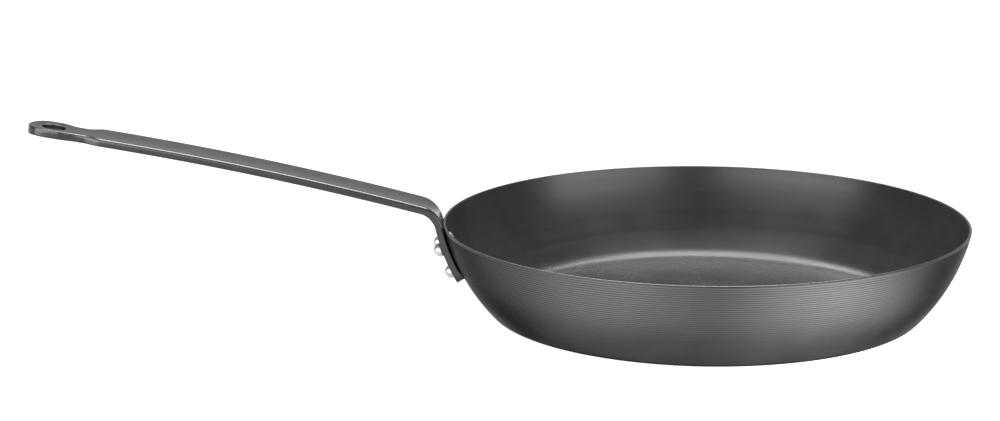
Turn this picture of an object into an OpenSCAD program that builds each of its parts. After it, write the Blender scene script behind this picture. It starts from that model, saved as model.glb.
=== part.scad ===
// Long-handled frying pan: a spun steel body, a bent bar handle with a hanging
// eye, and three round-headed rivets that join them.
// The origin is the centre of the underside. The handle points along -X and the bowl opens upwards.
// Angles on the wall are counted from the horizontal, around the centre of the wall's curve.

/* [Pan body] */
// Outer diameter at the rim
rim_d = 305; // [260:1:340]
// Height of the rim's outer edge above the base
pan_h = 53; // [48:0.5:60]
// Thickness of the spun sheet
sheet_t = 1.6; // [1:0.1:3]
// Outer radius of the wall's curve, seen in section
wall_r = 108; // [100:1:130]
// Lean of the wall away from upright at the rim
rim_lean = 12.8; // [8:0.2:16]
// Outer radius of the corner between floor and wall
corner_r = 8; // [5:0.5:12]

/* [Handle] */
// Width of the flat bar
bar_w = 30; // [27:0.5:32]
// Thickness of the flat bar
bar_t = 4.8; // [3:0.1:6]
// Radius of the shallow trough across the bar's upper face
trough_r = 110; // [80:5:400]
// Radius of the bend over the rim, on the bar's upper face
bend_r = 16; // [12:0.2:24]
// Slope of the arm where it leaves the bend
arm_slope = 15.1; // [12:0.1:20]
// Slope of the hanging tab
tab_slope = 9.8; // [6:0.2:11]
// Horizontal reach of the arm, from the bend to the tab's shoulder
arm_reach = 182; // [120:1:220]
// Angle on the wall where the riveted flange ends
flange_a = -30.4; // [-34:0.2:-30]
// Radius of the flange's lower corners
flange_corner_r = 4; // [1:0.5:6]

/* [Hanging tab] */
// Length of the tab, from the shoulder to the tip
tab_l = 43.5; // [42:0.5:60]
// Width of the tab around the eye
tab_w = 25.2; // [23:0.2:26]
// Width of the waist between shoulder and eye
waist_w = 20.6; // [16:0.2:22]
// Diameter of the hanging eye
eye_d = 13.4; // [8:0.2:16]
// Distance from the centre of the eye to the tip
eye_to_tip = 14.4; // [12:0.2:16]

/* [Rivets] */
// Diameter of the heads
head_d = 8; // [6:0.2:8.6]
// Height of the round outer head
head_h = 4.4; // [2.5:0.1:4.4]
// Height of the low inner head
inner_head_h = 1.3; // [0.8:0.1:2]
// Diameter of the shank
shank_d = 5; // [4:0.1:5.6]
// Distance between the two upper rivets
pair_pitch = 19; // [16:0.2:19]
// Angle on the wall of the two upper rivets
upper_a = -19.5; // [-21:0.1:-18]
// Angle on the wall of the lower rivet
lower_a = -27.9; // [-28:0.1:-27]

/* [Hidden] */

turn_fn = 180;             // facets round the pan
small_fn = 64;             // facets round rivets and the eye
fit_gap = 0.05;            // air left between pieces that are riveted together
head_gap = 0.1;            // lift of a flat inner head above the curved wall
wall_steps = 16;           // steps along the wall's curve
corner_steps = 8;          // steps along the corner's curve
flange_steps = 10;         // steps along the flange above its rounded corners
bend_steps = 12;           // steps along the bend
across_steps = 10;         // steps across the curved faces of the bar
arm_steps = 12;            // steps along the arm
ramp_steps = 10;           // steps along each ramp of the tab's outline
eye_flat = 5;              // length of the parallel sides beside the eye
waist_flat = 4;            // length of the parallel sides at the waist

rim_a = -rim_lean;
wall_c = [rim_d / 2 - wall_r * cos(rim_a), pan_h - wall_r * sin(rim_a)];
corner_c = [wall_c.x + sqrt(pow(wall_r - corner_r, 2) - pow(wall_c.y - corner_r, 2)), corner_r];
blend_a = -asin((wall_c.y - corner_r) / (wall_r - corner_r));

flange_r = wall_r + fit_gap;
corner_a = flange_corner_r / flange_r * 180 / PI;
bend_c = wall_c + (flange_r + bend_r) * [cos(rim_a), sin(rim_a)];
arm_a = 90 + arm_slope;
tab_a = 90 + tab_slope;
arm_start = bend_c + bend_r * [cos(arm_a), sin(arm_a)];
arm_r = arm_reach / (cos(tab_a) - cos(arm_a));
arm_c = arm_start - arm_r * [cos(arm_a), sin(arm_a)];
tab_start = arm_c + arm_r * [cos(tab_a), sin(tab_a)];

tip_r = tab_w / 2;
ramp_l = (tab_l - tip_r - eye_flat - waist_flat) / 2;
waist_at = tip_r + eye_flat + ramp_l;
pair_a = asin(pair_pitch / 2 / (wall_c.x + wall_r * cos(upper_a)));

// Points along an arc, from angle a0 to angle a1
function arc(c, r, a0, a1, n) = [for (i = [0 : n]) let (a = a0 + (a1 - a0) * i / n) c + r * [cos(a), sin(a)]];

// The same points in the opposite order
function reversed(p) = [for (i = [len(p) - 1 : -1 : 0]) p[i]];

// Section line of the body, set in from the outer surface
function body_line(inset) = concat(
    [[0, inset]],
    arc(corner_c, corner_r - inset, -90, blend_a, corner_steps),
    arc(wall_c, wall_r - inset, blend_a, rim_a, wall_steps));

// Stations along the bar: [face point, direction into the bar, half-width, fit to the wall].
// The fit is 1 where the bar follows the round wall and 0 where it has its own shallow trough.
function corner_stations() = [for (i = [0 : corner_steps])
    let (t = 90 * i / corner_steps, a = flange_a + (1 - cos(t)) * corner_a)
    [wall_c + flange_r * [cos(a), sin(a)], [cos(a), sin(a)], bar_w / 2 - flange_corner_r * (1 - sin(t)), 1]];
function flange_stations() = [for (i = [1 : flange_steps])
    let (start = flange_a + corner_a, a = start + (rim_a - start) * i / flange_steps)
    [wall_c + flange_r * [cos(a), sin(a)], [cos(a), sin(a)], bar_w / 2, 1]];
function bend_stations() = [for (i = [1 : bend_steps])
    let (t = i / bend_steps, a = 180 + rim_a + (arm_a - 180 - rim_a) * t)
    [bend_c + bend_r * [cos(a), sin(a)], -[cos(a), sin(a)], bar_w / 2, (1 + cos(180 * t)) / 2]];

function arm_stations() = [for (i = [1 : arm_steps])
    let (a = arm_a + (tab_a - arm_a) * i / arm_steps)
    [arm_c + arm_r * [cos(a), sin(a)], -[cos(a), sin(a)], bar_w / 2, 0]];

// Rise of the trough's upper face at a distance from the bar's middle line
function trough(y) = y * y / (2 * trough_r);

// One point of a station's cross-section, at a place across the bar and a depth below its upper face
function bar_point(station, across, depth) =
    let (y = across * station[2], p = station[0] + (depth - (1 - station[3]) * trough(y)) * station[1])
    [p.x - station[3] * (p.x - sqrt(p.x * p.x - y * y)), y, p.y];

// A station's cross-section: across the upper face, then back along the lower one
function bar_ring(station) = concat(
    [for (j = [0 : across_steps]) bar_point(station, 2 * j / across_steps - 1, 0)],
    [for (j = [across_steps : -1 : 0]) bar_point(station, 2 * j / across_steps - 1, bar_t)]);

// Points of a smooth ramp in half-width, between two distances from the tip
function ramp(d0, d1, w0, w1) = [for (i = [0 : ramp_steps])
    let (t = i / ramp_steps) [tab_l - d0 - (d1 - d0) * t, (w0 + (w1 - w0) * (1 - cos(180 * t)) / 2) / 2]];

// One side of the tab's outline, from beside the eye to the shoulder
tab_side = concat(
    [[tab_l - tip_r, tab_w / 2]],
    ramp(tip_r + eye_flat, waist_at, tab_w, waist_w),
    ramp(waist_at + waist_flat, tab_l, waist_w, bar_w));

// Frame on the outer wall: +X points out of the wall and +Z up along it
module on_wall(side_a, wall_a) {
    rotate([0, 0, 180 + side_a])
        translate([wall_c.x, 0, wall_c.y])
            rotate([0, -wall_a, 0])
                translate([wall_r, 0, 0])
                    children();
}

// Frame at the tab's shoulder: +X runs towards the tip and +Z out of the upper face
module on_tab() {
    rotate([0, 0, 180])
        translate([tab_start.x, 0, tab_start.y])
            rotate([0, -tab_slope, 0])
                children();
}

// Hole for a rivet's shank, through both the flange and the wall
module shank_hole(side_a, wall_a) {
    on_wall(side_a, wall_a)
        rotate([0, 90, 0])
            cylinder(h = 4 * (sheet_t + bar_t), d = shank_d + 2 * fit_gap, center = true, $fn = small_fn);
}

module shank_holes() {
    shank_hole(-pair_a, upper_a);
    shank_hole(pair_a, upper_a);
    shank_hole(0, lower_a);
}

module pan_body() {
    color([0.20, 0.20, 0.21])
    difference() {
        rotate_extrude($fn = turn_fn)
            polygon(concat(body_line(0), reversed(body_line(sheet_t))));
        shank_holes();
    }
}

// The bar from the flange's end to the tab's shoulder, skinned over its cross-sections
module bent_bar() {
    stations = concat(corner_stations(), flange_stations(), bend_stations(), arm_stations());
    rings = [for (station = stations) bar_ring(station)];
    n = 2 * (across_steps + 1);
    last = len(rings) - 1;
    sides = [for (i = [0 : last - 1], j = [0 : n - 1])
        let (a = i * n + j, b = i * n + (j + 1) % n)
        each [[a, b, a + n], [b, b + n, a + n]]];
    ends = [for (j = [0 : across_steps - 1])
        let (a = j, b = n - 1 - j, top = last * n)
        each [[a, b, b - 1], [a, b - 1, a + 1], [top + a, top + b - 1, top + b], [top + a, top + a + 1, top + b - 1]]];
    rotate([0, 0, 180])
        polyhedron(points = [for (ring = rings) each ring], faces = concat(sides, ends));
}

module tab_outline() {
    polygon(concat(tab_side, reversed([for (p = tab_side) [p.x, -p.y]])));
    translate([tab_l - tip_r, 0])
        circle(r = tip_r, $fn = small_fn);
}

// A length of bar with the trough across it, as long as the tab and a little more
module trough_bar() {
    across = [for (j = [0 : across_steps]) bar_w * (j / across_steps - 0.5)];
    rotate([90, 0, 90])
        linear_extrude(tab_l + bar_t)
            polygon(concat(
                [for (y = across) [y, trough(y)]],
                reversed([for (y = across) [y, trough(y) - bar_t]])));
}

module tab() {
    on_tab()
        intersection() {
            trough_bar();
            translate([0, 0, -2 * bar_t])
                linear_extrude(4 * bar_t)
                    tab_outline();
        }
}

module eye() {
    on_tab()
        translate([tab_l - eye_to_tip, 0, -bar_t / 2])
            cylinder(h = 3 * bar_t, d = eye_d, center = true, $fn = small_fn);
}

module handle() {
    color([0.42, 0.42, 0.43])
    difference() {
        union() {
            bent_bar();
            tab();
        }
        eye();
        shank_holes();
    }
}

// A round cap of the given base diameter and height, standing on the XY plane
module cap(d, h) {
    ball_r = (d * d / 4 + h * h) / (2 * h);
    intersection() {
        translate([0, 0, h - ball_r])
            sphere(r = ball_r, $fn = small_fn);
        cylinder(h = h, d = d, $fn = small_fn);
    }
}

module rivet(side_a, wall_a) {
    outer_seat = fit_gap + bar_t + fit_gap;
    inner_seat = -sheet_t - head_gap;
    color([0.80, 0.80, 0.82])
    on_wall(side_a, wall_a)
        rotate([0, 90, 0]) {
            translate([0, 0, inner_seat])
                cylinder(h = outer_seat - inner_seat, d = shank_d, $fn = small_fn);
            translate([0, 0, outer_seat])
                cap(head_d, head_h);
            translate([0, 0, inner_seat])
                mirror([0, 0, 1])
                    cap(head_d, inner_head_h);
        }
}

module rivet_upper_left() {
    rivet(pair_a, upper_a);
}

module rivet_upper_right() {
    rivet(-pair_a, upper_a);
}

module rivet_lower() {
    rivet(0, lower_a);
}

pan_body();
handle();
rivet_upper_left();
rivet_upper_right();
rivet_lower();
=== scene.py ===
import math

import bpy
from mathutils import Matrix, Vector


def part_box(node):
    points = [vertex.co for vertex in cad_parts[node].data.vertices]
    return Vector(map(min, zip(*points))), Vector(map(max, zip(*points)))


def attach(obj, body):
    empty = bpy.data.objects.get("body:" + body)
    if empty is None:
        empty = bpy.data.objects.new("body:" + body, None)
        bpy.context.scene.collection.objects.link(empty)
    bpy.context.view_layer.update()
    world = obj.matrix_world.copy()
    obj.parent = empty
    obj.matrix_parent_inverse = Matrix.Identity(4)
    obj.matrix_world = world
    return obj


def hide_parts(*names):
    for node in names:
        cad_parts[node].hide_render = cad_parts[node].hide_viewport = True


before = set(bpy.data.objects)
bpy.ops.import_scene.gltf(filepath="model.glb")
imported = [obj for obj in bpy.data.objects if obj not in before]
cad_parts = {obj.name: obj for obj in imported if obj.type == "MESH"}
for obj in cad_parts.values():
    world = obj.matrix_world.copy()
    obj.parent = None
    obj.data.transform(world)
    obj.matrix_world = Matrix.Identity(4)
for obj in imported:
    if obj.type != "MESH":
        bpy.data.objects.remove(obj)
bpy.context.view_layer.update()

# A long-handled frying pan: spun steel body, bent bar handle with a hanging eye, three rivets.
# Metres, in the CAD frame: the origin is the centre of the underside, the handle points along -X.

MM = 0.001
TAU = 2 * math.pi

# ---- Driving dimensions, the same design values as the CAD source ----

pan_low, pan_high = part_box("pan_body")
handle_low, handle_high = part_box("handle")

SHEET = 1.6 * MM                    # thickness of the body
RIM_LEAN = math.radians(12.8)       # the wall's lean away from upright at the rim
WALL_CURVE = 108 * MM               # radius of the wall's curve in section
CORNER = 8 * MM                     # outer radius between floor and wall
RIM_R = (pan_high[0] - pan_low[0]) / 2
PAN_H = pan_high[2] - SHEET * math.sin(RIM_LEAN)

BAR_T = 4.8 * MM                    # thickness of the handle's bar
BAR_W = handle_high[1] - handle_low[1]
BEND = 16 * MM                      # radius of the bend, on the bar's upper face
TROUGH = 110 * MM                   # radius of the shallow trough across the upper face
ARM_SLOPE = math.radians(15.1)      # slope of the arm at the bend
TAB_SLOPE = math.radians(9.8)       # slope of the hanging tab
ARM_REACH = 182 * MM                # from the bend to the tab's shoulder
FLANGE_END = math.radians(-30.4)    # angle on the wall where the flange ends
FLANGE_CORNER = 4 * MM              # radius of the flange's lower corners
TAB_L, TAB_W, WAIST_W = 43.5 * MM, 25.2 * MM, 20.6 * MM     # the tab's length, its width, its waist's width
EYE_R, EYE_TO_TIP = 6.7 * MM, 14.4 * MM                     # the eye's radius, and its centre from the tip
EYE_FLAT, WAIST_FLAT = 5 * MM, 4 * MM                       # parallel stretches beside the eye and at the waist

HEAD_R, HEAD_H, INNER_HEAD_H, SHANK_R = 4 * MM, 4.4 * MM, 1.3 * MM, 2.5 * MM
PAIR_PITCH = 19 * MM                # distance between the two upper rivets
UPPER_RIVETS, LOWER_RIVET = math.radians(-19.5), math.radians(-27.9)
FIT_GAP, HEAD_GAP = 0.05 * MM, 0.1 * MM

RIDGE_PITCH = 1.39 * MM             # spacing of the rings left by spinning
RIDGE_DEPTH = 0.12 * MM             # their depth on the outer wall
INNER_RIDGE_DEPTH = 0.015 * MM      # and inside the bowl


def ease(t):
    """0 to 1 along a half cosine."""
    t = min(max(t, 0.0), 1.0)
    return (1 - math.cos(math.pi * t)) / 2


def arc(centre, radius, start, end, steps):
    """Points of an arc in a plane, from one angle to another."""
    angles = [start + (end - start) * i / steps for i in range(steps + 1)]
    return [Vector((centre[0] + radius * math.cos(a), centre[1] + radius * math.sin(a))) for a in angles]


# ---- The section of the body: the wall's curve and the corner's curve ----

RIM_A = -RIM_LEAN
wall_c = Vector((RIM_R - WALL_CURVE * math.cos(RIM_A), PAN_H - WALL_CURVE * math.sin(RIM_A)))
corner_out = math.sqrt((WALL_CURVE - CORNER) ** 2 - (wall_c.y - CORNER) ** 2)
corner_c = Vector((wall_c.x + corner_out, CORNER))
BLEND_A = -math.asin((wall_c.y - CORNER) / (WALL_CURVE - CORNER))

INNER_WALL = WALL_CURVE - SHEET
INNER_CORNER = 13 * MM              # radius between floor and wall inside the bowl
inner_rise = wall_c.y - SHEET - INNER_CORNER
inner_run = math.sqrt((INNER_WALL - INNER_CORNER) ** 2 - inner_rise ** 2)
inner_c = Vector((wall_c.x + inner_run, SHEET + INNER_CORNER))
INNER_BLEND_A = -math.asin(inner_rise / (INNER_WALL - INNER_CORNER))


def on_wall(angle, offset=0.0):
    """A point of the outer wall's section, moved out of the wall by offset."""
    r = WALL_CURVE + offset
    return Vector((wall_c.x + r * math.cos(angle), wall_c.y + r * math.sin(angle)))


# ---- Mesh helpers ----

def make_object(name, vertices, faces, material):
    mesh = bpy.data.meshes.new(name)
    mesh.from_pydata([tuple(v) for v in vertices], [], faces)
    mesh.validate()
    mesh.update()
    mesh.polygons.foreach_set("use_smooth", [True] * len(mesh.polygons))
    mesh.materials.append(material)
    obj = bpy.data.objects.new(name, mesh)
    bpy.context.scene.collection.objects.link(obj)
    return obj


def revolve(profile, segments):
    """Vertices and faces of a closed solid whose profile runs from the axis back to the axis."""
    first, rings, last = profile[0], profile[1:-1], profile[-1]
    vertices = [Vector((0, 0, first[1])), Vector((0, 0, last[1]))]
    turns = [(math.cos(TAU * j / segments), math.sin(TAU * j / segments)) for j in range(segments)]
    for r, z in rings:
        vertices += [Vector((r * c, r * s, z)) for c, s in turns]

    def at(i, j):
        return 2 + i * segments + j % segments

    end = len(rings) - 1
    faces = [(0, at(0, j + 1), at(0, j)) for j in range(segments)]
    for i in range(end):
        faces += [(at(i, j), at(i, j + 1), at(i + 1, j + 1), at(i + 1, j)) for j in range(segments)]
    faces += [(1, at(end, j), at(end, j + 1)) for j in range(segments)]
    return vertices, faces


# ---- Materials ----

class Nodes:
    """A material's node tree, with short calls for the nodes used here."""

    def __init__(self, name):
        self.material = bpy.data.materials.new(name)
        self.material.use_nodes = True
        self.tree = self.material.node_tree
        self.shader = self.tree.nodes["Principled BSDF"]

    def add(self, kind, **settings):
        node = self.tree.nodes.new(kind)
        for key, value in settings.items():
            setattr(node, key, value)
        return node

    def feed(self, socket, value):
        if isinstance(value, bpy.types.NodeSocket):
            self.tree.links.new(value, socket)
        elif value is not None:
            socket.default_value = value

    def math(self, operation, a, b=None, c=None):
        node = self.add("ShaderNodeMath", operation=operation)
        for socket, value in zip(node.inputs, (a, b, c)):
            self.feed(socket, value)
        return node.outputs[0]

    def ramp(self, value, low, high, out_low=0.0, out_high=1.0):
        node = self.add("ShaderNodeMapRange", interpolation_type="SMOOTHSTEP")
        for key, item in (("Value", value), ("From Min", low), ("From Max", high),
                          ("To Min", out_low), ("To Max", out_high)):
            self.feed(node.inputs[key], item)
        return node.outputs[0]

    def mix(self, factor, a, b):
        node = self.add("ShaderNodeMix", data_type="RGBA")
        self.feed(node.inputs[0], factor)
        self.feed(node.inputs[6], a)
        self.feed(node.inputs[7], b)
        return node.outputs[2]

    def noise(self, vector, scale, detail=3.0, roughness=0.55):
        node = self.add("ShaderNodeTexNoise")
        self.feed(node.inputs["Vector"], vector)
        self.feed(node.inputs["Scale"], scale)
        self.feed(node.inputs["Detail"], detail)
        self.feed(node.inputs["Roughness"], roughness)
        return node.outputs[0]

    def vector(self, x, y, z):
        node = self.add("ShaderNodeCombineXYZ")
        for socket, value in zip(node.inputs, (x, y, z)):
            self.feed(socket, value)
        return node.outputs[0]

    def place(self):
        """x, y, z and the position itself, in metres in the CAD frame."""
        position = self.add("ShaderNodeTexCoord").outputs["Object"]
        split = self.add("ShaderNodeSeparateXYZ")
        self.feed(split.inputs[0], position)
        return (*split.outputs, position)

    def bump(self, height, distance, normal=None):
        node = self.add("ShaderNodeBump")
        self.feed(node.inputs["Height"], height)
        self.feed(node.inputs["Distance"], distance)
        self.feed(node.inputs["Normal"], normal)
        return node.outputs[0]


def grey(value):
    """A neutral steel grey, a trace cooler than plain grey."""
    return (value, value, value * 1.015, 1.0)


# Reflectance of each metal: darker clouds, lighter clouds, and for steel also where it is rubbed bright
OUTSIDE_TONES = (0.049, 0.062, 0.088)
INSIDE_TONES = (0.006, 0.010, 0.018)
BAR_TONES = (0.006, 0.010, 0.018)
RIVET_TONES = (0.40, 0.56)
CREST_HIGHLIGHT_TONE = 1.15                        # painted highlight on a ring's crest, against a rubbed spot
EDGE_TINT = 0.32                         # how far the outside brightens when seen at a slant

RING_SCALE, RING_TURN = 3200.0, 1.5      # turning marks: fineness along the wall, and round the pan
BAND_SCALE, BAND_TURN, BAND_SEED = 160.0, 0.6, 3.0
STREAK_SCALE = (90.0, 1500.0, 220.0)     # grain of the bar, long along X
OUTSIDE_RUB, INSIDE_RUB = 0.35, 0.15     # how strongly the turning marks show
CREST_FROM, CREST_TO = 14 * MM, 34 * MM  # height over which the painted highlight on the rings' crests comes in
SMOOTH_TO, ROUGH_FROM = 1.65 * MM, 3.5 * MM
WORN_TO, MARKED_FROM = 2 * MM, 9 * MM
FINE_RELIEF, STREAK_RELIEF, GRAIN_RELIEF = 0.004 * MM, 0.006 * MM, 0.006 * MM


def spun_steel(name, outside):
    """Dark spun sheet steel: fine turning rings and cloudy oxide, and outside a painted highlight on the wall's
    ring crests; smoother on the flat floor of the bowl.
    """
    n = Nodes(name)
    x, y, z, position = n.place()
    radius = n.math("SQRT", n.math("ADD", n.math("MULTIPLY", x, x), n.math("MULTIPLY", y, y)))
    along = n.math("ADD", radius, z)                  # grows steadily from the centre to the rim
    turn = n.math("ARCTAN2", y, x)
    ring_place = n.vector(n.math("MULTIPLY", along, RING_SCALE), n.math("MULTIPLY", turn, RING_TURN), 0.0)
    band_place = n.vector(n.math("MULTIPLY", along, BAND_SCALE), n.math("MULTIPLY", turn, BAND_TURN), BAND_SEED)
    rings = n.noise(ring_place, 1.0, 4.0, 0.7)
    bands = n.noise(band_place, 1.0, 2.0)
    clouds = n.noise(position, 28.0, 5.0, 0.6)
    grain = n.noise(position, 2600.0, 2.0, 0.6)

    low, high, bright = OUTSIDE_TONES if outside else INSIDE_TONES
    rub = OUTSIDE_RUB if outside else INSIDE_RUB
    oxide = n.mix(n.ramp(clouds, 0.3, 0.7), grey(low), grey(high))
    oxide = n.mix(n.ramp(rings, 0.35, 0.75, 0.0, rub), oxide, grey(bright))
    if outside:
        # Painted highlight: the wall's rings are coloured lighter in step with their pitch, fading in up the
        # wall
        slope = n.math("ARCTAN2", n.math("SUBTRACT", z, wall_c.y), n.math("SUBTRACT", radius, wall_c.x))
        turns = n.math("MULTIPLY", n.math("SUBTRACT", RIM_A, slope), TAU * WALL_CURVE / RIDGE_PITCH)
        wave = n.ramp(n.math("COSINE", turns), -1.0, 1.0)
        crest_highlight = n.math("MULTIPLY", wave, n.ramp(z, CREST_FROM, CREST_TO))
        oxide = n.mix(crest_highlight, oxide, grey(bright * CREST_HIGHLIGHT_TONE))
    lip = n.ramp(z, PAN_H - 0.6 * MM, PAN_H + 0.1 * MM)
    n.feed(n.shader.inputs["Base Color"], n.mix(lip, oxide, grey(bright)))
    uneven = n.math("ADD", n.ramp(bands, 0.3, 0.7, -0.03, 0.03), n.ramp(clouds, 0.3, 0.7, -0.03, 0.03))
    satin = n.ramp(z, SMOOTH_TO, ROUGH_FROM, 0.25, 0.36)
    n.feed(n.shader.inputs["Roughness"], n.math("ADD", uneven, satin))
    if outside:
        n.shader.inputs["Metallic"].default_value = 1.0
        n.shader.inputs["Specular Tint"].default_value = grey(EDGE_TINT)
    n.shader.inputs["Specular IOR Level"].default_value = 0.5
    n.shader.inputs["Anisotropic"].default_value = 0.4
    n.shader.inputs["Anisotropic Rotation"].default_value = 0.25
    tangent = n.add("ShaderNodeTangent", direction_type="RADIAL", axis="Z")
    n.feed(n.shader.inputs["Tangent"], tangent.outputs[0])
    relief = n.ramp(z, WORN_TO, MARKED_FROM, 0.05, 1.0)     # the flat of the bowl is worn smoother than its wall
    fine = n.bump(n.math("MULTIPLY", rings, relief), FINE_RELIEF)
    n.feed(n.shader.inputs["Normal"], n.bump(n.math("MULTIPLY", grain, relief), FINE_RELIEF, fine))
    return n.material


def bar_steel():
    """Dark grey rolled bar: faint lengthwise grain, scale clouds and a few rubbed spots."""
    n = Nodes("bar_steel")
    *axes, position = n.place()
    streak_place = n.vector(*[n.math("MULTIPLY", axis, scale) for axis, scale in zip(axes, STREAK_SCALE)])
    streaks = n.noise(streak_place, 1.0, 3.0)
    clouds = n.noise(position, 70.0, 4.0, 0.6)
    grain = n.noise(position, 2200.0, 2.0, 0.6)
    low, high, bright = BAR_TONES
    tone = n.mix(n.ramp(clouds, 0.3, 0.7), grey(low), grey(high))
    tone = n.mix(n.ramp(streaks, 0.4, 0.75, 0.0, 0.4), tone, grey(bright))
    n.feed(n.shader.inputs["Base Color"], tone)
    n.feed(n.shader.inputs["Roughness"], n.ramp(clouds, 0.3, 0.7, 0.20, 0.25))
    n.shader.inputs["Specular IOR Level"].default_value = 0.52
    fine = n.bump(streaks, STREAK_RELIEF)
    n.feed(n.shader.inputs["Normal"], n.bump(grain, GRAIN_RELIEF, fine))
    return n.material


def rivet_metal():
    """Bright soft metal, a little uneven from the hammer."""
    n = Nodes("rivet_metal")
    position = n.place()[3]
    dents = n.noise(position, 420.0, 2.0)
    grain = n.noise(position, 3000.0, 2.0)
    low, high = RIVET_TONES
    n.feed(n.shader.inputs["Base Color"], n.mix(n.ramp(dents, 0.3, 0.7), grey(low), grey(high)))
    n.shader.inputs["Metallic"].default_value = 0.9
    n.feed(n.shader.inputs["Roughness"], n.ramp(grain, 0.3, 0.7, 0.30, 0.42))
    n.feed(n.shader.inputs["Normal"], n.bump(dents, 0.12 * MM, n.bump(grain, 0.01 * MM)))
    return n.material


TABLE_GLOW = 0.93
# Painted pools of light: soft glowing spots on the floor that the wall mirrors: (place, reach, added brightness)
PAINTED_LIGHT_POOLS = (
    ((-0.112, -0.178), 0.130, 1.3),
    ((0.124, -0.175), 0.160, 3.3),
)


def light_table():
    """The plain pale floor, gently lit from below so that shadows stay soft and faint, with painted pools of
    light glowing where the wall mirrors the floor.
    """
    n = Nodes("light_table")
    n.shader.inputs["Base Color"].default_value = grey(0.15)
    n.shader.inputs["Roughness"].default_value = 0.9
    n.shader.inputs["Specular IOR Level"].default_value = 0.1
    n.shader.inputs["Emission Color"].default_value = grey(1.0)
    x, y = n.place()[:2]
    glow = TABLE_GLOW
    # each spot adds a painted pool of light, a glow fading out from its place
    for place, reach, peak in PAINTED_LIGHT_POOLS:
        dx, dy = n.math("SUBTRACT", x, place[0]), n.math("SUBTRACT", y, place[1])
        away = n.math("SQRT", n.math("ADD", n.math("MULTIPLY", dx, dx), n.math("MULTIPLY", dy, dy)))
        glow = n.math("ADD", glow, n.ramp(away, 0.0, reach, peak, 0.0))
    n.feed(n.shader.inputs["Emission Strength"], glow)
    return n.material


# ---- The body ----

RIDGE_SAMPLES, INNER_SAMPLES = 5, 3      # rows of vertices to a ring, outside and inside
CORNER_STEPS, INNER_CORNER_STEPS = 10, 14
FLAT_STEPS = 4                      # rings of faces on each flat disc
LIP_STEPS = 5
LIP_ROUND = 0.72 * MM               # edge radius of the trimmed lip
TURN_SEGMENTS = 256


def wall_line(radius, start, pitch_samples, depth, ridge_from, ridge_to):
    """Wall section at one radius of curvature, up to the lip, with the rings fading in on the way."""
    end = RIM_A - LIP_ROUND / radius
    length = radius * (end - start)
    steps = round(length / RIDGE_PITCH * pitch_samples)
    points = []
    for i in range(steps + 1):
        t = i / steps
        from_lip = (1 - t) * length
        fade = ease((t - ridge_from) / (ridge_to - ridge_from)) * ease((from_lip - 0.5 * MM) / (2 * MM))
        cut = depth * fade * (1 - math.cos(TAU * from_lip / RIDGE_PITCH)) / 2
        points.append(arc(wall_c, radius - cut, start + (end - start) * t, end, 1)[0])
    return points


def lip_line():
    """The lip's section: two rounds, from the outer wall over the top to the inner wall."""
    along = Vector((-math.sin(RIM_A), math.cos(RIM_A)))     # up the wall at the lip
    out = Vector((math.cos(RIM_A), math.sin(RIM_A)))        # out of the wall at the lip
    top = on_wall(RIM_A) - along * LIP_ROUND

    def round_off(centre, start):
        angles = [start + TAU / 4 * i / LIP_STEPS for i in range(LIP_STEPS + 1)]
        return [centre + LIP_ROUND * (math.cos(a) * out + math.sin(a) * along) for a in angles]

    outer = round_off(top - out * LIP_ROUND, 0.0)
    return outer[1:] + round_off(top - out * (SHEET - LIP_ROUND), TAU / 4)


def flat_line(radius, z):
    """Points of a flat disc's section, from the axis to just short of its edge."""
    return [Vector((radius * i / FLAT_STEPS, z)) for i in range(FLAT_STEPS)]


def body():
    """The spun sheet as one closed skin: underside, outer wall, lip, inner wall and floor."""
    underside = flat_line(corner_c.x, 0.0)
    outer_corner = arc(corner_c, CORNER, -TAU / 4, BLEND_A, CORNER_STEPS)
    outer_wall = wall_line(WALL_CURVE, BLEND_A, RIDGE_SAMPLES, RIDGE_DEPTH, 0.12, 0.55)
    inner_wall = wall_line(INNER_WALL, INNER_BLEND_A, INNER_SAMPLES, -INNER_RIDGE_DEPTH, 0.05, 0.35)
    inner_corner = arc(inner_c, INNER_CORNER, -TAU / 4, INNER_BLEND_A, INNER_CORNER_STEPS)
    bowl_floor = flat_line(inner_c.x, SHEET)
    profile = (underside + outer_corner + outer_wall[1:] + lip_line() + inner_wall[::-1][1:]
               + inner_corner[::-1][1:] + bowl_floor[::-1])
    vertices, faces = revolve(profile, TURN_SEGMENTS)
    obj = make_object("spun_body", vertices, faces, spun_steel("bowl_steel", False))
    obj.data.materials.append(spun_steel("outer_steel", True))
    outside_rows = len(underside) + len(outer_corner) + len(outer_wall) - 2
    for polygon in obj.data.polygons[:outside_rows * TURN_SEGMENTS]:
        polygon.material_index = 1
    return obj


# ---- The handle ----

FLANGE_R = WALL_CURVE + FIT_GAP
bend_c = wall_c + (FLANGE_R + BEND) * Vector((math.cos(RIM_A), math.sin(RIM_A)))
ARM_A, TAB_A = TAU / 4 + ARM_SLOPE, TAU / 4 + TAB_SLOPE
arm_start = bend_c + BEND * Vector((math.cos(ARM_A), math.sin(ARM_A)))
ARM_CURVE = ARM_REACH / (math.cos(TAB_A) - math.cos(ARM_A))
arm_c = arm_start - ARM_CURVE * Vector((math.cos(ARM_A), math.sin(ARM_A)))

FLANGE_L = FLANGE_R * (RIM_A - FLANGE_END)
BEND_TURN = math.pi + RIM_A - ARM_A
BEND_L = BEND * BEND_TURN
ARM_L = ARM_CURVE * (ARM_A - TAB_A)
SHOULDER = FLANGE_L + BEND_L + ARM_L


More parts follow.
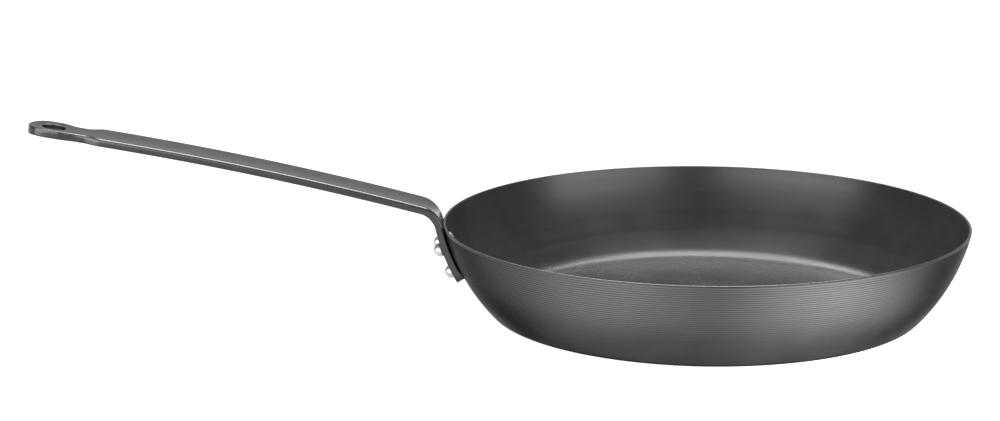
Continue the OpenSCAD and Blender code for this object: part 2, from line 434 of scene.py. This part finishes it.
def bar_point(s, across, depth):
    """A point of the bar: s along its upper face from the flange's end, across it, and depth below that face."""
    rise = across * across / (2 * TROUGH)
    if s < FLANGE_L:
        a = FLANGE_END + s / FLANGE_R
        p, fit = on_wall(a, FIT_GAP + depth), 1.0
    elif s < FLANGE_L + BEND_L:
        t = (s - FLANGE_L) / BEND_L
        a = math.pi + RIM_A - BEND_TURN * t
        p, fit = bend_c + (BEND - depth + rise * ease(t)) * Vector((math.cos(a), math.sin(a))), 1 - ease(t)
    elif s < SHOULDER:
        a = ARM_A - (s - FLANGE_L - BEND_L) / ARM_CURVE
        p, fit = arm_c + (ARM_CURVE - depth + rise) * Vector((math.cos(a), math.sin(a))), 0.0
    else:
        run = Vector((math.cos(TAB_SLOPE), math.sin(TAB_SLOPE)))
        start = arm_c + (ARM_CURVE - depth + rise) * Vector((math.cos(TAB_A), math.sin(TAB_A)))
        p, fit = start + run * (s - SHOULDER), 0.0
    r = p.x - fit * (p.x - math.sqrt(p.x * p.x - across * across))
    return Vector((-r, across, p.y))


ARM_EDGE = 1.4 * MM                 # rolled edge radius of the bar
WAIST_EDGE = 1.0 * MM               # edge radius of the tab's waist
CUT_EDGE = 0.4 * MM                 # edge radius where the tab and the flange's end are cut
EYE_EDGE = 0.5 * MM                 # edge radius of the eye
SUPPORT = 0.25 * MM                 # narrow strip beside an edge that keeps the face next to it flat
LOW_EDGE = 0.5                      # the lower edges' radius as a share of the upper ones'
ROLL = 2.3                          # how much further the upper edges' roll reaches in than down
EDGE_STEPS = 8
EYE_EDGE_STEPS = 4
CUT_STEPS = 8                       # steps round a lower corner of the flange
FLANGE_STEPS, BEND_STEPS, ARM_STEPS = 16, 24, 40
TAB_STEPS, TIP_STEPS = 36, 12
COLUMNS = 10                        # columns of faces across the bar


def tab_half(d):
    """Half-width of the tab at a distance from its tip, behind the round end."""
    ramp = (TAB_L - TAB_W / 2 - EYE_FLAT - WAIST_FLAT) / 2
    waist = TAB_W / 2 + EYE_FLAT + ramp
    wide = TAB_W + (WAIST_W - TAB_W) * ease((d - waist + ramp) / ramp)
    return (wide + (BAR_W - WAIST_W) * ease((d - waist - WAIST_FLAT) / ramp)) / 2


def side_outline():
    """One side of the bar's outline from the flange's end to the tip: (s, half-width, edge radius)."""
    side = []
    for i in range(CUT_STEPS + 1):
        t = TAU / 4 * i / CUT_STEPS
        half = BAR_W / 2 - FLANGE_CORNER * (1 - math.sin(t))
        side.append((FLANGE_CORNER * (1 - math.cos(t)), half, CUT_EDGE))
    stops = [
        (FLANGE_CORNER, FLANGE_L, FLANGE_STEPS),
        (FLANGE_L, FLANGE_L + BEND_L, BEND_STEPS),
        (FLANGE_L + BEND_L, SHOULDER, ARM_STEPS),
    ]
    for start, end, steps in stops:
        for i in range(1, steps + 1):
            s = start + (end - start) * i / steps
            edge = CUT_EDGE + (ARM_EDGE - CUT_EDGE) * ease((s - FLANGE_CORNER) / (3 * MM))
            side.append((s, BAR_W / 2, edge))
    shoulder_row = len(side) - 1
    tip = SHOULDER + TAB_L
    for i in range(1, TAB_STEPS + 1):
        d = TAB_L - (TAB_L - TAB_W / 2) * i / TAB_STEPS
        edge = ARM_EDGE + (WAIST_EDGE - ARM_EDGE) * ease((TAB_L - d) / (6 * MM))
        edge += (CUT_EDGE - WAIST_EDGE) * ease((TAB_L - 14 * MM - d) / (12 * MM))
        side.append((tip - d, tab_half(d), edge))
    for i in range(1, TIP_STEPS + 1):
        t = TAU / 4 * i / TIP_STEPS
        side.append((tip - TAB_W / 2 * (1 - math.sin(t)), TAB_W / 2 * math.cos(t), CUT_EDGE))
    return side, shoulder_row


class Bar:
    """The handle's mesh: rings of points that follow the bar's outline, and the faces between them."""

    def __init__(self):
        side, self.shoulder_row = side_outline()
        half = side[0][1]
        # The closed outline: across the flange's end, up one side, round the tip, down the other side
        self.loop = [(0.0, -half + 2 * half * j / COLUMNS, CUT_EDGE) for j in range(1, COLUMNS)]
        self.loop += side
        self.loop += [(s, -h, e) for s, h, e in side[-2::-1]]
        self.count = len(self.loop)
        self.normals = [self.outward(i) for i in range(self.count)]
        self.vertices, self.faces = [], []

    def outward(self, i):
        """Direction out of the outline at one of its points, in its own plane."""
        (s0, y0, _), (s1, y1, _) = self.loop[i - 1], self.loop[(i + 1) % self.count]
        run = Vector((s1 - s0, y1 - y0)).normalized()
        return Vector((-run.y, run.x))

    def sides(self, row):
        """Places in the outline of a row's two ends, on the +Y and on the -Y side."""
        return COLUMNS - 1 + row, self.count - 1 - row

    def ring(self, inset, inset_share, depth, depth_share):
        """The outline's points, moved in and down by fixed amounts and by shares of the edge radius."""
        start = len(self.vertices)
        for (s, y, edge), normal in zip(self.loop, self.normals):
            move = edge * inset_share + inset
            place = (s - normal.x * move, y - normal.y * move)
            self.vertices.append(bar_point(*place, depth + edge * depth_share))
        return start

    def edges(self):
        """Rings over the upper edge, down the side and round the lower edge; gives the first and the last."""
        turns = [TAU / 4 * k / EDGE_STEPS for k in range(EDGE_STEPS + 1)]
        rings = [self.ring(SUPPORT, ROLL, 0.0, 0.0)]
        rings += [self.ring(0.0, ROLL * (1 - math.sin(t)), 0.0, 1 - math.cos(t)) for t in turns]
        rings.append(self.ring(0.0, 0.0, BAR_T / 2, 0.0))
        for t in reversed(turns):
            rings.append(self.ring(0.0, LOW_EDGE * (1 - math.sin(t)), BAR_T, -LOW_EDGE * (1 - math.cos(t))))
        rings.append(self.ring(SUPPORT, 1.0, BAR_T, 0.0))
        for a, b in zip(rings, rings[1:]):
            for i in range(self.count):
                j = (i + 1) % self.count
                self.faces.append((a + i, b + i, b + j, a + j))
        return rings[0], rings[-1]

    def row(self, base, row, inset_share, depth):
        """A row of points across the bar, from a ring's -Y side to its +Y side."""
        plus, minus = self.sides(row)
        (s, half, edge), normal = self.loop[plus], self.normals[plus]
        move = edge * inset_share + SUPPORT
        s, half = s - normal.x * move, half - normal.y * move
        ids = [base + minus]
        for j in range(1, COLUMNS):
            ids.append(len(self.vertices))
            self.vertices.append(bar_point(s, -half + 2 * half * (j / COLUMNS), depth))
        return ids + [base + plus]

    def face(self, base, inset_share, depth, up):
        """Faces over flange, bend and arm inside a ring; gives the row at the tab's shoulder."""
        plus, minus = self.sides(0)
        rows = [[base + minus] + [base + j for j in range(COLUMNS - 1)] + [base + plus]]
        rows += [self.row(base, row, inset_share, depth) for row in range(1, self.shoulder_row + 1)]
        for lower, upper in zip(rows, rows[1:]):
            for j in range(COLUMNS):
                quad = (lower[j], lower[j + 1], upper[j + 1], upper[j])
                self.faces.append(quad if up else quad[::-1])
        return rows[-1]

    def tab_loop(self, base, shoulder):
        """A ring's stretch round the tab, then back along the shoulder's row."""
        plus, minus = self.sides(self.shoulder_row)
        return [base + i for i in range(plus, minus + 1)] + shoulder[1:-1]

    def eye_ring(self, turns, radius, depth):
        start = len(self.vertices)
        centre_s = SHOULDER + TAB_L - EYE_TO_TIP
        for a in turns:
            s = centre_s + radius * math.cos(a)
            self.vertices.append(bar_point(s, radius * math.sin(a), depth))
        return start

    def eye(self, upper, lower):
        """The eye's rings, joined by spokes to the loops round the tab's upper and lower face."""
        middle = bar_point(SHOULDER + TAB_L - EYE_TO_TIP, 0.0, 0.0)
        run = Vector((-math.cos(TAB_SLOPE), 0, math.sin(TAB_SLOPE)))
        spokes = [self.vertices[i] - middle for i in upper]
        turns = [math.atan2(p.y, p.dot(run)) for p in spokes]

        steps = [TAU / 4 * k / EYE_EDGE_STEPS for k in range(EYE_EDGE_STEPS + 1)]
        curve = [(EYE_R + EYE_EDGE * (1 - math.sin(t)), EYE_EDGE * (1 - math.cos(t))) for t in steps]
        rings = [self.eye_ring(turns, EYE_R + EYE_EDGE + SUPPORT, 0.0)]
        rings += [self.eye_ring(turns, radius, depth) for radius, depth in curve]
        rings += [self.eye_ring(turns, radius, BAR_T - depth) for radius, depth in reversed(curve)]
        rings.append(self.eye_ring(turns, EYE_R + EYE_EDGE + SUPPORT, BAR_T))
        n = len(turns)
        for i in range(n):
            j = (i + 1) % n
            self.faces.append((upper[i], upper[j], rings[0] + j, rings[0] + i))
            self.faces.append((lower[j], lower[i], rings[-1] + i, rings[-1] + j))
            for a, b in zip(rings, rings[1:]):
                self.faces.append((a + i, a + j, b + j, b + i))


def handle():
    bar = Bar()
    top, bottom = bar.edges()
    upper = bar.tab_loop(top, bar.face(top, ROLL, 0.0, True))
    lower = bar.tab_loop(bottom, bar.face(bottom, 1.0, BAR_T, False))
    bar.eye(upper, lower)
    return make_object("bar_handle", bar.vertices, bar.faces, bar_steel())


# ---- Rivets ----

CAP_STEPS = 12                      # steps from a head's pole to its rim
RIVET_SEGMENTS = 40


def rivet(name, side, wall_angle, metal):
    """A round-headed rivet, at an angle round the pan (0 at the handle) and an angle on the wall's curve."""
    seat = FIT_GAP + BAR_T + FIT_GAP
    under = -SHEET - HEAD_GAP

    def cap(height, base, sign):
        ball = (HEAD_R ** 2 + height ** 2) / (2 * height)
        foot = math.asin(HEAD_R / ball) if height < HEAD_R else math.pi - math.asin(HEAD_R / ball)
        pole = []
        for i in range(CAP_STEPS + 1):
            a = foot * i / CAP_STEPS
            pole.append(Vector((ball * math.sin(a), base + sign * (height - ball + ball * math.cos(a)))))
        return pole

    profile = cap(INNER_HEAD_H, under, -1)
    profile += [Vector((SHANK_R, under)), Vector((SHANK_R, seat))]
    profile += cap(HEAD_H, seat, 1)[::-1]
    vertices, faces = revolve(profile, RIVET_SEGMENTS)
    p = on_wall(wall_angle)
    place = (Matrix.Rotation(math.pi + side, 4, "Z") @ Matrix.Translation((p.x, 0, p.y))
             @ Matrix.Rotation(TAU / 4 - wall_angle, 4, "Y"))
    return make_object(name, [place @ v for v in vertices], faces, metal)


# ---- Stage: floor, lights, camera ----

FLOOR_REACH = 8.0
WORLD_GREY = 0.35
PAN = (0.0, 0.0, 0.03)              # what the lamps are aimed at

# Lamps: (name, place, target, size, brightness relative to white in the picture)
LAMPS = (
    ("overhead", (0.0, 0.57, 1.28), PAN, (1.0, 1.2), 8.0),
    ("ceiling", (0.0, 0.6, 2.4), (0, 0.6, 0), (3.0, 2.6), 0.8),
    ("left_front", (-0.88, -0.84, 0.30), PAN, (1.7, 0.6), 4.8),
    ("right_front", (0.85, -0.83, 0.30), PAN, (1.4, 0.6), 4.5),
    ("back", (0.0, 2.0, 0.6), PAN, (2.4, 1.1), 0.1),
)

CAMERA_TURN, CAMERA_PITCH = math.radians(-1.123), math.radians(12.995)
CAMERA_PLACE = (-0.7822, -11.156, 2.964)     # in rim radii, before the turn
LENS, SENSOR = 108.66, 36                    # millimetres


def floor():
    r = FLOOR_REACH
    corners = [Vector((-r, -r, 0)), Vector((r, -r, 0)), Vector((r, r, 0)), Vector((-r, r, 0))]
    return make_object("floor", corners, [(0, 1, 2, 3)], light_table())


def softbox(name, place, target, size, brightness):
    """A flat lamp facing its target."""
    lamp = bpy.data.lights.new(name, "AREA")
    lamp.shape = "RECTANGLE"
    lamp.size, lamp.size_y = size
    lamp.energy = 4 * size[0] * size[1] * brightness
    obj = bpy.data.objects.new(name, lamp)
    obj.location = place
    obj.rotation_euler = (Vector(target) - Vector(place)).to_track_quat("-Z", "Y").to_euler()
    bpy.context.scene.collection.objects.link(obj)


def studio_world():
    world = bpy.data.worlds.new("studio")
    world.use_nodes = True
    shade = (WORLD_GREY, WORLD_GREY, WORLD_GREY, 1)
    world.node_tree.nodes["Background"].inputs["Color"].default_value = shade
    bpy.context.scene.world = world


def camera():
    """Seen from the side of the handle, a little above the rim."""
    turn = Matrix.Rotation(CAMERA_TURN, 4, "Z")
    look = turn @ Vector((0, math.cos(CAMERA_PITCH), -math.sin(CAMERA_PITCH)))
    data = bpy.data.cameras.new("camera")
    data.sensor_width = SENSOR
    data.lens = LENS
    data.clip_start, data.clip_end = 0.05, 50
    obj = bpy.data.objects.new("camera", data)
    obj.location = turn @ (RIM_R * Vector(CAMERA_PLACE))
    obj.rotation_euler = look.to_track_quat("-Z", "Y").to_euler()
    bpy.context.scene.collection.objects.link(obj)
    bpy.context.scene.camera = obj


camera()
spun = body()
bar = handle()
metal = rivet_metal()
PAIR_TURN = math.asin(PAIR_PITCH / 2 / on_wall(UPPER_RIVETS).x)
rivets = [
    ("rivet_upper_left", rivet("rivet_head_upper_left", PAIR_TURN, UPPER_RIVETS, metal)),
    ("rivet_upper_right", rivet("rivet_head_upper_right", -PAIR_TURN, UPPER_RIVETS, metal)),
    ("rivet_lower", rivet("rivet_head_lower", 0.0, LOWER_RIVET, metal)),
]
for piece, node, slot in [(spun, "pan_body", "body_steel"), (bar, "handle", "handle_steel"),
                          *((r, node, "rivet_metal") for node, r in rivets)]:
    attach(piece, "root")
    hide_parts(node)
floor()

studio_world()
for lamp in LAMPS:
    softbox(*lamp)
bpy.context.scene.view_settings.view_transform = "Standard"
